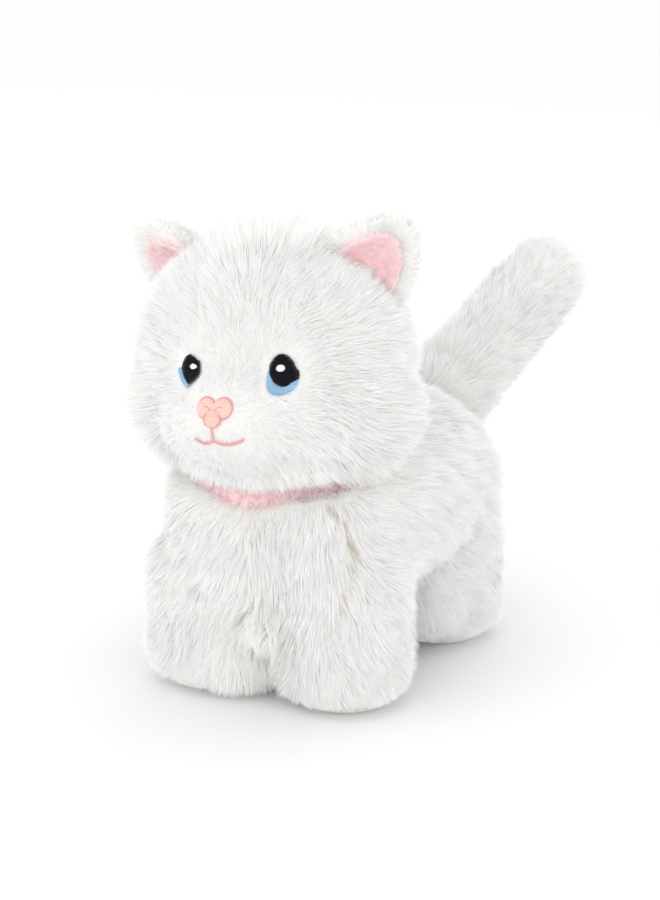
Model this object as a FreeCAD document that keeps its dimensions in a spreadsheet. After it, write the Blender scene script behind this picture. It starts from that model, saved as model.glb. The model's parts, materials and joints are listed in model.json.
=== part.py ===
import FreeCAD, Part
import Sketcher
import os

# A standing plush cat, in millimetres.  +X is the cat's left, -Y is the way it faces, +Z is up.
# The origin is the middle of the box round the whole toy, on the surface that the paws stand on.
#
# A plush piece is one sewn panel: its backing and the dense part of its pile together.
# Loose hair tips stand out a little further and are not modelled as solids.

SIZES = {
    # the whole toy, moved so that its box is centred on the origin
    "shift_side": 2.57,
    "shift_back": -42.9,
    # plush and stuffing
    "plush_thick": 5.5,
    "fill_gap": 0.4,
    "travel_gap": 0.4,
    # torso, a soft block with large roundings
    "torso_half_wide": 63.5,
    "torso_front": 90.0,
    "torso_back": 96.0,
    "torso_low": 42.0,
    "torso_high": 130.0,
    "torso_round": 37.0,
    "belly_seam_high": 54.0,
    "chest_half_wide": 44.0,
    "chest_deep": 34.0,
    "chest_high": 104.0,
    # legs
    "leg_side": 36.5,
    "leg_ahead": 55.0,
    "leg_radius": 30.0,
    "leg_high": 84.0,
    "paw_round": 10.0,
    "shoulder_round": 14.0,
    "sole_thick": 2.5,
    "sole_gap": 0.3,
    # neck: a soft ball between the head and the torso, leaning forward
    "neck_ahead": 40.0,
    "neck_high": 117.0,
    "neck_lean": 14.0,
    "neck_radius": 37.0,
    "neck_cover_half": 16.0,
    "seat_radius": 47.5,
    "seat_low": 5.4,
    "shoulder_level": 2.0,
    "shoulder_reach": 72.0,
    "nod_room": 13.5,
    "nod_reach": 66.0,
    "collar_radius": 41.9,
    "collar_section": 4.4,
    # head, wider than it is deep, with a flat face and a round back
    "head_ahead": 60.0,
    "head_high": 168.5,
    "head_roll": -4.0,
    "head_half_wide": 67.0,
    "head_half_high": 61.0,
    "face_deep": 39.0,
    "skull_deep": 59.0,
    "gusset_half_wide": 17.0,
    # muzzle
    "muzzle_ahead": 33.0,
    "muzzle_drop": 23.0,
    "muzzle_half_wide": 32.0,
    "muzzle_deep": 27.0,
    "muzzle_half_high": 23.0,
    # embroidery
    "stitch_lift": 0.3,
    "stitch_thick": 1.5,
    "eye_side": 24.5,
    "eye_drop": 1.0,
    "eye_half_wide": 8.2,
    "eye_half_high": 10.4,
    "pupil_half_wide": 7.2,
    "pupil_half_high": 8.6,
    "pupil_rise": 1.5,
    "glint_half_high": 1.5,
    "glint_half_wide": 1.0,
    "glint_thick": 0.6,
    "glint_side": 1.6,
    "glint_rise": 4.6,
    "nose_lobe_radius": 4.5,
    "nose_lobe_side": 4.7,
    "nose_lobe_drop": 11.5,
    "nose_tip_radius": 3.8,
    "nose_tip_drop": 18.9,
    "mouth_line": 1.4,
    "stem_side": 1.5,
    "stem_top_drop": 22.9,
    "stem_bottom_drop": 30.6,
    "smile_drop": 30.8,
    "smile_deep": 3.2,
    "smile_right_wide": 10.4,
    "smile_left_wide": 15.2,
    # ears, sewn along a straight base line on the upper side of the head
    "ear_side": 51.6,
    "ear_back": 4.6,
    "ear_rise": 40.7,
    "ear_slope": 41.5,
    "ear_outward": 18.0,
    "ear_high": 26.0,
    "ear_inner": 21.0,
    "ear_outer": 26.0,
    "ear_foot": 2.6,
    "ear_plush_thick": 5.0,
    "ear_lining_thick": 2.8,
    "ear_corner": 4.5,
    "ear_rim": 6.5,
    "lining_corner": 3.2,
    # tail: a root ball and a stuffed tube, in line at rest
    "root_side": 13.0,
    "root_back": 104.7,
    "root_high": 112.1,
    "root_radius": 23.0,
    "tail_lean": 18.8,
    "tail_rise": 32.7,
    "tail_base_radius": 22.0,
    "tail_end_radius": 20.0,
    "tail_start": 9.0,
    "tail_long": 124.0,
    # cutting blocks reach well past what they cut
    "reach": 300.0,
}

os.makedirs("parts", exist_ok=True)
doc = FreeCAD.newDocument("PlushCat")
sheet = doc.addObject("Spreadsheet::Sheet", "Sizes")
for row, (alias, value) in enumerate(SIZES.items(), start=1):
    cell = "A" + str(row)
    sheet.set(cell, str(value))
    sheet.setAlias(cell, alias)
doc.recompute()

SIDES = {"left": 1, "right": -1}
AXIS_X = FreeCAD.Vector(1, 0, 0)
AXIS_Y = FreeCAD.Vector(0, 1, 0)
AXIS_Z = FreeCAD.Vector(0, 0, 1)


def read(formula):
    """The value of a formula written with the sheet's aliases."""
    return float(sheet.evalExpression(formula))


def turn(axis, degrees):
    return FreeCAD.Rotation(axis, degrees)


def at(x, y, z, rotation=FreeCAD.Rotation()):
    """A placement in the toy's frame, with its three formulas read from the sheet."""
    return FreeCAD.Placement(FreeCAD.Vector(read(x), read(y), read(z)), rotation)


# ---------------------------------------------------------------- building blocks

def solid(kind, name, place, **sizes):
    """A Part primitive with every size bound to the sheet."""
    thing = doc.addObject("Part::" + kind, name)
    for size_name, formula in sizes.items():
        thing.setExpression(size_name, formula)
    thing.Placement = place
    return thing


def ellipsoid(name, wide, deep, high, place, half=False):
    """Half widths along X, Y and Z; half=True keeps only the +Y half."""
    thing = solid("Ellipsoid", name, place, Radius1=high, Radius2=wide, Radius3=deep)
    if half:
        thing.Angle3 = 180
    return thing


def cut(name, base, *tools):
    """base with every tool taken away."""
    left_over = base
    for index, tool in enumerate(tools):
        piece = doc.addObject("Part::Cut", name + "_cut" + str(index))
        piece.Base = left_over
        piece.Tool = tool
        left_over = piece
    left_over.Label = name
    return left_over


def common(name, first, second):
    piece = doc.addObject("Part::Common", name + "_common")
    piece.Base = first
    piece.Tool = second
    piece.Label = name
    return piece


def fuse(name, *shapes):
    piece = doc.addObject("Part::MultiFuse", name + "_fuse")
    piece.Shapes = list(shapes)
    piece.Label = name
    return piece


def block(name, low, high, place=FreeCAD.Placement()):
    """A box between two corners, each a triple of formulas."""
    corner = FreeCAD.Vector(*[read(formula) for formula in low])
    box = doc.addObject("Part::Box", name)
    for size_name, start, end in zip(("Length", "Width", "Height"), low, high):
        box.setExpression(size_name, "(" + end + ") - (" + start + ")")
    box.Placement = place.multiply(FreeCAD.Placement(corner, FreeCAD.Rotation()))
    return box


def new_sketch(body, name, plane_role):
    """A sketch on one of the body's own origin planes."""
    sketch = body.newObject("Sketcher::SketchObject", name)
    plane = next(item for item in body.Origin.OriginFeatures if item.Role == plane_role)
    sketch.AttachmentSupport = [(plane, "")]
    sketch.MapMode = "FlatFace"
    return sketch


def draw_outline(sketch, corners):
    """A closed outline of straight lines; every corner's place is bound to the sheet."""
    points = [FreeCAD.Vector(read(x), read(y), 0) for x, y in corners]
    count = len(points)
    for index in range(count):
        sketch.addGeometry(Part.LineSegment(points[index], points[(index + 1) % count]), False)
    for index in range(count):
        sketch.addConstraint(Sketcher.Constraint("Coincident", index, 2, (index + 1) % count, 1))
    for index, formulas in enumerate(corners):
        for kind, formula in zip(("DistanceX", "DistanceY"), formulas):
            number = sketch.addConstraint(
                Sketcher.Constraint(kind, -1, 1, index, 1, read(formula)))
            sketch.setExpression("Constraints[" + str(number) + "]", formula)


def pad(body, name, sketch, length):
    feature = body.newObject("PartDesign::Pad", name)
    feature.Profile = sketch
    feature.setExpression("Length", length)
    body.Tip = feature
    return feature


def rounding(body, name, base, radius, wanted):
    """A fillet on the edges of base that wanted(edge) picks."""
    doc.recompute()
    edges = ["Edge" + str(number) for number, edge in enumerate(base.Shape.Edges, start=1)
             if wanted(edge)]
    feature = body.newObject("PartDesign::Fillet", name)
    feature.Base = (base, edges)
    feature.setExpression("Radius", radius)
    body.Tip = feature
    return feature


def soft_block(name, low, high, radius):
    """A block with every edge rounded alike, as a filled cushion is."""
    body = doc.addObject("PartDesign::Body", name)
    sketch = new_sketch(body, name + "_outline", "XY_Plane")
    draw_outline(sketch, [(low[0], low[1]), (high[0], low[1]), (high[0], high[1]), (low[0], high[1])])
    padded = pad(body, name + "_pad", sketch, "(" + high[2] + ") - (" + low[2] + ")")
    rounding(body, name + "_round", padded, radius, lambda edge: True)
    body.Placement = at("Sizes.shift_side", "Sizes.shift_back", low[2])
    return body


def leg_form(name, x, y, inset, foot):
    """An upright leg: a cylinder with a rounded paw and a rounded shoulder."""
    body = doc.addObject("PartDesign::Body", name)
    sketch = new_sketch(body, name + "_circle", "XY_Plane")
    radius = "Sizes.leg_radius - (" + inset + ")"
    sketch.addGeometry(Part.Circle(FreeCAD.Vector(), AXIS_Z, read(radius)), False)
    sketch.addConstraint(Sketcher.Constraint("Coincident", 0, 3, -1, 1))
    number = sketch.addConstraint(Sketcher.Constraint("Radius", 0, read(radius)))
    sketch.setExpression("Constraints[" + str(number) + "]", radius)
    height = "Sizes.leg_high - (" + inset + ") - (" + foot + ")"
    padded = pad(body, name + "_pad", sketch, height)
    middle = read(height) / 2

    def is_round(edge):
        return edge.Closed and abs(edge.BoundBox.ZLength) < 1e-6

    def low_ring(edge):
        return is_round(edge) and edge.BoundBox.ZMin < middle

    def high_ring(edge):
        return is_round(edge) and edge.BoundBox.ZMin > middle

    paw = rounding(body, name + "_paw", padded, "Sizes.paw_round - min(" + inset + "; 5)", low_ring)
    rounding(body, name + "_shoulder", paw, "Sizes.shoulder_round - (" + inset + ")", high_ring)
    body.Placement = at(x, y, foot)
    return body


def forward_prism(name, wide, high, x, y, z, place):
    """An upright ellipse at (x, y, z) in the head's frame, pushed forward through the face."""
    tall = read(high) >= read(wide)
    outline = doc.addObject("Part::Ellipse", name + "_ellipse")
    outline.setExpression("MajorRadius", high if tall else wide)
    outline.setExpression("MinorRadius", wide if tall else high)
    flat = turn(AXIS_X, 90).multiply(turn(AXIS_Z, 90 if tall else 0))
    outline.Placement = place.multiply(at(x, y, z, flat))
    prism = doc.addObject("Part::Extrusion", name)
    prism.Base = outline
    prism.DirMode = "Custom"
    prism.Dir = place.Rotation.multVec(FreeCAD.Vector(0, -1, 0))
    prism.setExpression("LengthFwd", "Sizes.reach / 3")
    prism.Solid = True
    return prism


nodes = []


def node(piece, label):
    """Marks piece as one of the toy's own parts, under its own name."""
    piece.Label = label
    nodes.append(piece)
    return piece


SKIN = "Sizes.plush_thick"
FILL = "(Sizes.plush_thick + Sizes.fill_gap)"

# ---------------------------------------------------------------- frames of the moving parts

neck_place = at("Sizes.shift_side", "Sizes.shift_back - Sizes.neck_ahead", "Sizes.neck_high",
                turn(AXIS_X, read("Sizes.neck_lean")))
head_place = at("Sizes.shift_side", "Sizes.shift_back - Sizes.head_ahead", "Sizes.head_high",
                turn(AXIS_Y, read("Sizes.head_roll")))
tail_turn = turn(AXIS_Z, -read("Sizes.tail_lean")).multiply(turn(AXIS_X, read("Sizes.tail_rise") - 90))
tail_place = at("Sizes.shift_side + Sizes.root_side", "Sizes.shift_back + Sizes.root_back",
                "Sizes.root_high", tail_turn)

# ---------------------------------------------------------------- room for the neck and the tail root

neck_room = solid("Sphere", "neck_room", neck_place, Radius="Sizes.neck_radius + Sizes.travel_gap")
collar_room = solid("Cylinder", "collar_room",
                    neck_place.multiply(at("0", "0", "-Sizes.seat_low")),
                    Radius="Sizes.seat_radius", Height="Sizes.reach / 3")
shoulder_room = solid("Cylinder", "shoulder_room",
                      neck_place.multiply(at("0", "0", "Sizes.shoulder_level")),
                      Radius="Sizes.shoulder_reach", Height="Sizes.reach / 3")
nod_room = solid("Cylinder", "nod_room",
                 neck_place.multiply(at("0", "0", "Sizes.nod_room - Sizes.reach / 3")),
                 Radius="Sizes.nod_reach", Height="Sizes.reach / 3")
root_room = solid("Sphere", "root_room", tail_place, Radius="Sizes.root_radius + Sizes.travel_gap")

# ---------------------------------------------------------------- torso and legs

leg_spots = {}
for end, ahead in (("front", "-"), ("hind", "+")):
    for side, sign in SIDES.items():
        leg_x = "Sizes.shift_side + " + str(sign) + " * Sizes.leg_side"
        leg_y = "Sizes.shift_back " + ahead + " Sizes.leg_ahead"
        leg_spots[end + "_" + side] = (leg_x, leg_y)


def torso_form(name, inset):
    low = ("-(Sizes.torso_half_wide - " + inset + ")", "-(Sizes.torso_front - " + inset + ")",
           "Sizes.torso_low + " + inset)
    high = ("Sizes.torso_half_wide - " + inset, "Sizes.torso_back - " + inset,
            "Sizes.torso_high - " + inset)
    return soft_block(name, low, high, "Sizes.torso_round - " + inset)


torso_outside = torso_form("torso_outside", "0")
torso_inside = torso_form("torso_inside", SKIN)
torso_fill = torso_form("torso_fill", FILL)
leg_outsides = {}
for spot, (leg_x, leg_y) in leg_spots.items():
    leg_outsides[spot] = leg_form("leg_outside_" + spot, leg_x, leg_y, "0", "0")

torso_skin = cut("torso_skin", torso_outside, torso_inside, *leg_outsides.values(),
                 neck_room, collar_room, shoulder_room, root_room)
FAR = "Sizes.reach"
belly_block = block("belly_block", ("-" + FAR, "-" + FAR, "0"), (FAR, FAR, "Sizes.belly_seam_high"))
chest_block = block(
    "chest_block",
    ("Sizes.shift_side - Sizes.chest_half_wide", "Sizes.shift_back - Sizes.torso_front - 10",
     "Sizes.belly_seam_high"),
    ("Sizes.shift_side + Sizes.chest_half_wide",
     "Sizes.shift_back - Sizes.torso_front + Sizes.chest_deep", "Sizes.chest_high"))
upper_skin = cut("upper_skin", torso_skin, belly_block, chest_block)
node(common("belly_panel", torso_skin, belly_block), "belly_panel")
node(common("chest_panel", torso_skin, chest_block), "chest_panel")
for side, sign in SIDES.items():
    ends = ("Sizes.shift_side", "Sizes.shift_side + " + str(sign) + " * " + FAR)
    low_x, high_x = ends if sign > 0 else (ends[1], ends[0])
    half = block("torso_half_" + side, (low_x, "-" + FAR, "0"), (high_x, FAR, FAR))
    node(common("torso_side_" + side, upper_skin, half), "torso_side_" + side)
node(cut("torso_stuffing", torso_fill, neck_room, collar_room, shoulder_room, root_room),
     "torso_stuffing")

for spot, (leg_x, leg_y) in leg_spots.items():
    sole_radius = "Sizes.leg_radius - Sizes.paw_round"
    sole = solid("Cylinder", "sole_" + spot, at(leg_x, leg_y, "0"),
                 Radius=sole_radius + " - Sizes.sole_gap", Height="Sizes.sole_thick")
    sole_room = solid("Cylinder", "sole_room_" + spot, at(leg_x, leg_y, "-1"),
                      Radius=sole_radius, Height="Sizes.sole_thick + Sizes.sole_gap + 1")
    foot = "Sizes.sole_thick + Sizes.sole_gap"
    inside = leg_form("leg_inside_" + spot, leg_x, leg_y, SKIN, foot)
    fill = leg_form("leg_fill_" + spot, leg_x, leg_y, FILL, foot + " + Sizes.fill_gap")
    cover = cut("leg_cover_" + spot, leg_outsides[spot], inside, sole_room, torso_outside)
    stuffing = cut("leg_stuffing_" + spot, fill, torso_inside)
    node(cover, "leg_cover_" + spot)
    node(stuffing, "leg_stuffing_" + spot)
    node(sole, "paw_sole_" + spot)

# ---------------------------------------------------------------- neck and collar

ball = solid("Sphere", "neck_ball", neck_place, Radius="Sizes.neck_radius")
core = solid("Sphere", "neck_core", neck_place, Radius="Sizes.neck_radius - " + SKIN)
core_fill = solid("Sphere", "neck_core_fill", neck_place, Radius="Sizes.neck_radius - " + FILL)


def neck_band(name, half):
    return solid("Cylinder", name, neck_place.multiply(at("0", "0", "-(" + half + ")")),
                 Radius="Sizes.neck_radius + 5", Height="2 * (" + half + ")")


cover_band = neck_band("neck_cover_band", "Sizes.neck_cover_half")
fill_band = neck_band("neck_fill_band", "Sizes.neck_cover_half + Sizes.fill_gap")
node(cut("neck_cover", common("neck_zone", ball, cover_band), core), "neck_cover")
fill_shell = cut("neck_fill_shell", fill_band, core_fill)
node(cut("neck_stuffing", ball, fill_shell), "neck_stuffing")
node(solid("Torus", "collar_ring", neck_place, Radius1="Sizes.collar_radius",
           Radius2="Sizes.collar_section"), "collar")

# ---------------------------------------------------------------- head

BACK_HALF = FreeCAD.Placement()
FRONT_HALF = FreeCAD.Placement(FreeCAD.Vector(), turn(AXIS_Z, 180))


def head_form(name, inset, deep, half_place):
    return ellipsoid(name, "Sizes.head_half_wide - " + inset, deep + " - " + inset,
                     "Sizes.head_half_high - " + inset, head_place.multiply(half_place), half=True)


def muzzle_form(name, inset):
    return ellipsoid(name, "Sizes.muzzle_half_wide - " + inset, "Sizes.muzzle_deep - " + inset,
                     "Sizes.muzzle_half_high - " + inset,
                     head_place.multiply(at("0", "-Sizes.muzzle_ahead", "-Sizes.muzzle_drop")))


face_outside = head_form("face_outside", "0", "Sizes.face_deep", FRONT_HALF)
face_inside = head_form("face_inside", SKIN, "Sizes.face_deep", FRONT_HALF)
face_fill = head_form("face_fill", FILL, "Sizes.face_deep", FRONT_HALF)
skull_outside = head_form("skull_outside", "0", "Sizes.skull_deep", BACK_HALF)
skull_inside = head_form("skull_inside", SKIN, "Sizes.skull_deep", BACK_HALF)
skull_fill = head_form("skull_fill", FILL, "Sizes.skull_deep", BACK_HALF)
muzzle_outside = muzzle_form("muzzle_outside", "0")
muzzle_inside = muzzle_form("muzzle_inside", SKIN)
muzzle_fill = muzzle_form("muzzle_fill", FILL)

face_skin = cut("face_skin", face_outside, face_inside, muzzle_outside, neck_room, nod_room)
skull_skin = cut("skull_skin", skull_outside, skull_inside, neck_room, nod_room)
node(cut("muzzle_panel", muzzle_outside, muzzle_inside, face_inside, neck_room, nod_room),
     "muzzle_panel")
gusset_block = block("gusset_block", ("-Sizes.gusset_half_wide", "-" + FAR, "-" + FAR),
                     ("Sizes.gusset_half_wide", FAR, FAR), head_place)
upper_block = block("upper_block", ("-Sizes.gusset_half_wide", "-" + FAR, "-Sizes.muzzle_drop"),
                    ("Sizes.gusset_half_wide", FAR, FAR), head_place)
lower_block = block("lower_block", ("-Sizes.gusset_half_wide", "-" + FAR, "-" + FAR),
                    ("Sizes.gusset_half_wide", FAR, "-Sizes.muzzle_drop"), head_place)
node(common("forehead_gusset", face_skin, upper_block), "forehead_gusset")
node(common("chin_panel", face_skin, lower_block), "chin_panel")
node(common("crown_gusset", skull_skin, gusset_block), "crown_gusset")
for side, sign in SIDES.items():
    ends = (str(sign) + " * Sizes.gusset_half_wide", str(sign) + " * " + FAR)
    low_x, high_x = ends if sign > 0 else (ends[1], ends[0])
    half = block("head_half_" + side, (low_x, "-" + FAR, "-" + FAR), (high_x, FAR, FAR), head_place)
    node(common("cheek_" + side, face_skin, half), "cheek_" + side)
    node(common("head_back_" + side, skull_skin, half), "head_back_" + side)
head_fill = fuse("head_fill", face_fill, skull_fill, muzzle_fill)
node(cut("head_stuffing", head_fill, neck_room, nod_room), "head_stuffing")

# ---------------------------------------------------------------- embroidery


def stitch_layer(name, form, low, high):
    """The thin layer between two heights above a soft form."""
    above = form(name + "_above", "(-(" + high + "))")
    below = form(name + "_below", "(-(" + low + "))")
    return cut(name, above, below)


def front_form(name, inset):
    """The face and the muzzle together, so that an eye can cross the seam between them."""
    return fuse(name, head_form(name + "_face", inset, "Sizes.face_deep", FRONT_HALF),
                muzzle_form(name + "_muzzle", inset))


LIFT = "Sizes.stitch_lift"
TOP = "Sizes.stitch_lift + Sizes.stitch_thick"
GLINT_LIFT = TOP + " + 0.1"
eye_layer = stitch_layer("eye_layer", front_form, LIFT, TOP)
glint_layer = stitch_layer("glint_layer", front_form, GLINT_LIFT, GLINT_LIFT + " + Sizes.glint_thick")
nose_layer = stitch_layer("nose_layer", muzzle_form, LIFT, TOP)

for side, sign in SIDES.items():
    eye_x = str(sign) + " * Sizes.eye_side"
    eye = forward_prism("eye_" + side, "Sizes.eye_half_wide", "Sizes.eye_half_high",
                        eye_x, "0", "-Sizes.eye_drop", head_place)
    pupil = forward_prism("pupil_" + side, "Sizes.pupil_half_wide", "Sizes.pupil_half_high",
                          eye_x, "0", "Sizes.pupil_rise - Sizes.eye_drop", head_place)
    glint = forward_prism("glint_" + side, "Sizes.glint_half_wide", "Sizes.glint_half_high",
                          eye_x + " - Sizes.glint_side", "0",
                          "Sizes.glint_rise - Sizes.eye_drop", head_place)
    node(common("eye_pupil_" + side, eye_layer, pupil), "eye_pupil_" + side)
    eye_patch = common("eye_patch_" + side, eye_layer, eye)
    node(cut("eye_iris_" + side, eye_patch, pupil), "eye_iris_" + side)
    node(common("eye_glint_" + side, glint_layer, glint), "eye_glint_" + side)
    lobe = forward_prism("lobe_" + side, "Sizes.nose_lobe_radius", "Sizes.nose_lobe_radius",
                         str(sign) + " * Sizes.nose_lobe_side", "-Sizes.muzzle_ahead",
                         "-Sizes.nose_lobe_drop", head_place)
    node(common("nose_lobe_" + side, nose_layer, lobe), "nose_lobe_" + side)

nose_tip = forward_prism("nose_tip_prism", "Sizes.nose_tip_radius", "Sizes.nose_tip_radius",
                         "0", "-Sizes.muzzle_ahead", "-Sizes.nose_tip_drop", head_place)
node(common("nose_tip", nose_layer, nose_tip), "nose_tip")
stem = block("stem_block",
             ("-Sizes.stem_side - Sizes.mouth_line / 2", "-Sizes.reach / 3",
              "-Sizes.stem_bottom_drop"),
             ("-Sizes.stem_side + Sizes.mouth_line / 2", "-Sizes.muzzle_ahead",
              "-Sizes.stem_top_drop"), head_place)
node(common("mouth_stem", nose_layer, stem), "mouth_stem")
for side, sign in SIDES.items():
    wide = "Sizes.smile_" + side + "_wide / 2"
    middle_x = "-Sizes.stem_side + " + str(sign) + " * (" + wide + ")"
    outer = forward_prism("smile_outer_" + side, wide + " - 0.1",
                          "Sizes.smile_deep + Sizes.mouth_line / 2", middle_x,
                          "-Sizes.muzzle_ahead", "-Sizes.smile_drop", head_place)
    inner = forward_prism("smile_inner_" + side, wide + " - 0.1 - Sizes.mouth_line",
                          "Sizes.smile_deep - Sizes.mouth_line / 2", middle_x,
                          "-Sizes.muzzle_ahead", "-Sizes.smile_drop", head_place)
    under = block("smile_under_" + side, ("-" + FAR, "-" + FAR, "-" + FAR),
                  (FAR, "0", "-Sizes.smile_drop"), head_place)
    ring = cut("smile_ring_" + side, outer, inner)
    lower_ring = common("smile_lower_" + side, ring, under)
    node(common("mouth_arc_" + side, nose_layer, lower_ring), "mouth_arc_" + side)

# ---------------------------------------------------------------- ears

EAR_SHAPE = (
    # place along the base line, as a share of the inner or outer half; height as a share
    (-1.0, 0.0), (1.0, 0.0), (0.86, 0.44), (0.44, 0.85), (-0.06, 1.0), (-0.62, 0.62),
)


def ear_layer(name, sign, rim, front, thick, corner):
    """One layer of an ear: its outline stands on the base line and is padded backwards."""
    body = doc.addObject("PartDesign::Body", name)
    sketch = new_sketch(body, name + "_outline", "XZ_Plane")
    corners = []
    for along, up in EAR_SHAPE:
        half = "Sizes.ear_outer" if along > 0 else "Sizes.ear_inner"
        x = "{} * ({} * ({} - {}))".format(sign, along, half, rim)
        z = "Sizes.ear_foot + {} * (Sizes.ear_high - Sizes.ear_foot - {})".format(up, rim)
        corners.append((x, z))
    draw_outline(sketch, corners)
    padded = pad(body, name + "_pad", sketch, thick)

    def upper_corner(edge):
        level = edge.BoundBox.ZMin > read("Sizes.ear_foot") + 1
        return level and edge.BoundBox.YLength > read(thick) - 0.01 and edge.BoundBox.ZLength < 0.01

    rounding(body, name + "_round", padded, corner, upper_corner)
    body.Placement = ear_place(sign).multiply(at("0", front + " + (" + thick + ")", "0"))
    return node(body, name)


def ear_place(sign):
    """The ear's frame: X along its base line, Z up the ear, Y to its back."""
    slope = turn(AXIS_Y, sign * read("Sizes.ear_slope"))
    outward = turn(AXIS_Z, sign * read("Sizes.ear_outward"))
    hinge = at(str(sign) + " * Sizes.ear_side", "Sizes.ear_back", "Sizes.ear_rise",
               slope.multiply(outward))
    return head_place.multiply(hinge)


for side, sign in SIDES.items():
    ear_layer("ear_back_" + side, sign, "0", "-0.6", "Sizes.ear_plush_thick", "Sizes.ear_corner")
    ear_layer("ear_lining_" + side, sign, "Sizes.ear_rim", "-0.9 - Sizes.ear_lining_thick",
              "Sizes.ear_lining_thick", "Sizes.lining_corner")

# ---------------------------------------------------------------- tail

root_ball = solid("Sphere", "root_ball", tail_place, Radius="Sizes.root_radius")
root_core = solid("Sphere", "root_core", tail_place, Radius="Sizes.root_radius - " + SKIN)
node(cut("tail_root_cover", root_ball, root_core), "tail_root_cover")
node(solid("Sphere", "root_fill", tail_place, Radius="Sizes.root_radius - " + FILL),
     "tail_root_stuffing")


def tail_form(name, inset):
    """A slightly tapering tube that ends in a half ball."""
    tip = "(Sizes.tail_long - Sizes.tail_end_radius)"
    tube = solid("Cone", name + "_tube", tail_place.multiply(at("0", "0", "Sizes.tail_start")),
                 Radius1="Sizes.tail_base_radius - " + inset,
                 Radius2="Sizes.tail_end_radius - " + inset,
                 Height=tip + " - Sizes.tail_start")
    end = solid("Sphere", name + "_end", tail_place.multiply(at("0", "0", tip)),
                Radius="Sizes.tail_end_radius - " + inset)
    return fuse(name, tube, end)


tail_outside = tail_form("tail_outside", "0")
tail_inside = tail_form("tail_inside", SKIN)
tail_fill = tail_form("tail_fill", FILL)
tail_skin = cut("tail_skin", tail_outside, tail_inside, root_room)
for side, sign in SIDES.items():
    ends = ("0", str(sign) + " * " + FAR)
    low_x, high_x = ends if sign > 0 else (ends[1], ends[0])
    half = block("tail_half_" + side, (low_x, "-" + FAR, "-" + FAR), (high_x, FAR, FAR), tail_place)
    node(common("tail_cover_" + side, tail_skin, half), "tail_cover_" + side)
node(cut("tail_stuffing", tail_fill, root_room), "tail_stuffing")

# ---------------------------------------------------------------- checks and files

doc.recompute()
for thing in doc.Objects:
    if "Invalid" in thing.State or "Error" in thing.State:
        raise RuntimeError(thing.Label + " failed to compute")
for piece in nodes:
    shape = piece.Shape
    if shape.isNull() or not shape.isValid() or not shape.Solids:
        raise RuntimeError(piece.Label + " is not a valid solid")
for piece in nodes:
    piece.Shape.exportStep(os.path.join("parts", piece.Label + ".step"))
print(len(nodes), "parts written")
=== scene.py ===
import json
import math

import bpy
import numpy as np
from mathutils import Matrix, Vector
from mathutils.bvhtree import BVHTree
from mathutils.kdtree import KDTree


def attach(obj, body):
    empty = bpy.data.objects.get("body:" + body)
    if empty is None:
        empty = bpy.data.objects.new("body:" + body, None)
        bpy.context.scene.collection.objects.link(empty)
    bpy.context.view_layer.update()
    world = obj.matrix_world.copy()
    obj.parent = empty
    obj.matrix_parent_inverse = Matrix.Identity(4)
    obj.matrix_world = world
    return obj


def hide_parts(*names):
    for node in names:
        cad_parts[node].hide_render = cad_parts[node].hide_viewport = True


# The looks of a white long-pile plush cat.  The cat faces -Y, its left is +X, and +Z is up.
# Every soft piece is a closed padded skin with a pile of real strands standing on it.

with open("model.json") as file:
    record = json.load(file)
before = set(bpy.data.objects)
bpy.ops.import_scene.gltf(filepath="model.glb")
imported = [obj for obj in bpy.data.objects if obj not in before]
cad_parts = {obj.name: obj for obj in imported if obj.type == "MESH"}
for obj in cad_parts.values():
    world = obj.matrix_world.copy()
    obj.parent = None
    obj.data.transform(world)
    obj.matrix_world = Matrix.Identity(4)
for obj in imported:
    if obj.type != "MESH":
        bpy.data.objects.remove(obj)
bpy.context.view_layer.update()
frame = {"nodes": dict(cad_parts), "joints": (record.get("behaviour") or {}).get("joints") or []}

MM = 0.001
PILE_SHARE = 1.0


# ---------------------------------------------------------------- frames of the moving parts

def unit(vector):
    vector = np.asarray(vector, float)
    return vector / np.linalg.norm(vector)


class Place:
    """A local frame in millimetres: an origin and three axes, all in the toy's frame."""

    def __init__(self, origin, x_axis, z_axis):
        self.origin = np.asarray(origin, float)
        z_axis = unit(z_axis)
        x_axis = unit(np.asarray(x_axis, float) - z_axis * np.dot(x_axis, z_axis))
        self.axes = np.array([x_axis, np.cross(z_axis, x_axis), z_axis])

    def out(self, points):
        """Local millimetres to metres in the toy's frame."""
        return (np.asarray(points, float) @ self.axes + self.origin) * MM

    def into(self, points):
        """Metres in the toy's frame to local millimetres."""
        return (np.asarray(points, float) / MM - self.origin) @ self.axes.T

    def turn_out(self, vectors):
        return np.asarray(vectors, float) @ self.axes

    def turn_in(self, vectors):
        return np.asarray(vectors, float) @ self.axes.T


def joint_named(name):
    return next(joint for joint in frame["joints"] if joint["name"] == name)


def joint_place(name, z_axis):
    """The frame of a hinge, with X along its axis."""
    joint = joint_named(name)
    return Place(np.array(joint["pos_m"]) / MM, joint["axis"], z_axis)


MIDDLE_X = 2.57
LEGS_Y = -42.9
HEAD_ROLL = math.radians(-4.0)
HEAD = Place((MIDDLE_X, LEGS_Y - 60.0, 168.5), (math.cos(HEAD_ROLL), 0, -math.sin(HEAD_ROLL)),
             (math.sin(HEAD_ROLL), 0, math.cos(HEAD_ROLL)))
TORSO = Place((MIDDLE_X, LEGS_Y, 0), (1, 0, 0), (0, 0, 1))
NECK = Place(np.array(joint_named("head_turn")["pos_m"]) / MM, (1, 0, 0),
             joint_named("head_turn")["axis"])
TAIL_AXIS = np.cross(joint_named("tail_swing")["axis"], joint_named("tail_lift")["axis"])
TAIL = joint_place("tail_lift", TAIL_AXIS)
LEG_SIDE = 36.5
LEG_AHEAD = 55.0
SOLE_HIGH = 1.7
SOLE_SIZE = (21.5, 21.5, 1.6)


# ---------------------------------------------------------------- small numeric helpers

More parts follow.
